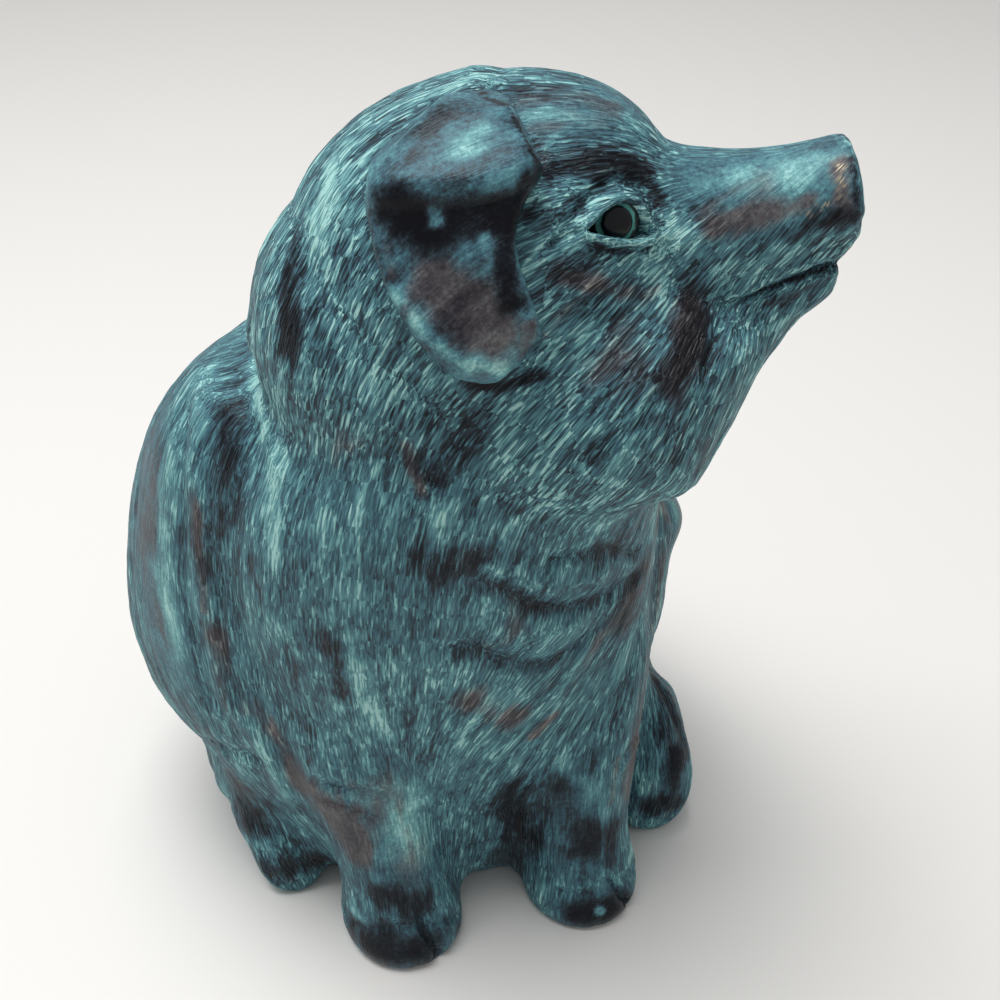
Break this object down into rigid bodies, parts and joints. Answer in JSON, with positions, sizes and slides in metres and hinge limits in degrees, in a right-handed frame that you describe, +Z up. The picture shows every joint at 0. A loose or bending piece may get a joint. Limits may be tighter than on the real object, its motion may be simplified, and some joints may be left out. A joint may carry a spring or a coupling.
{
  "type": "pig figurine",
  "caption": "Sitting piglet figurine in hollow cast bronze with a verdigris patina, head turned and lifted, that stands on a flat base as an ornament.",
  "frame": {"origin": "middle of the underside, on the surface that the figurine stands on", "axes": "+Z up, -Y the way its body faces, +X its left"},
  "size_m": [0.1091, 0.1085, 0.1492],
  "materials": {
    "patinated_bronze": "verdigris patina over dark chased bronze, waxed",
    "eye_bronze": "dark polished bronze",
    "bare_bronze": "bare bronze, filed",
    "screw_steel": "plain steel",
    "felt": "wool felt"
  },
  "bodies": {
    "root": {"torso_shell": "patinated_bronze", "head_shell": "patinated_bronze", "right_ear": "patinated_bronze", "left_ear": "patinated_bronze", "right_foreleg": "patinated_bronze", "left_foreleg": "patinated_bronze", "right_hind_leg": "patinated_bronze", "left_hind_leg": "patinated_bronze", "tail": "patinated_bronze", "right_eye": "eye_bronze", "left_eye": "eye_bronze", "neck_pins": "bare_bronze", "base_plate": "bare_bronze", "base_screws": "screw_steel", "felt_pad": "felt"}
  },
  "joints": []
}
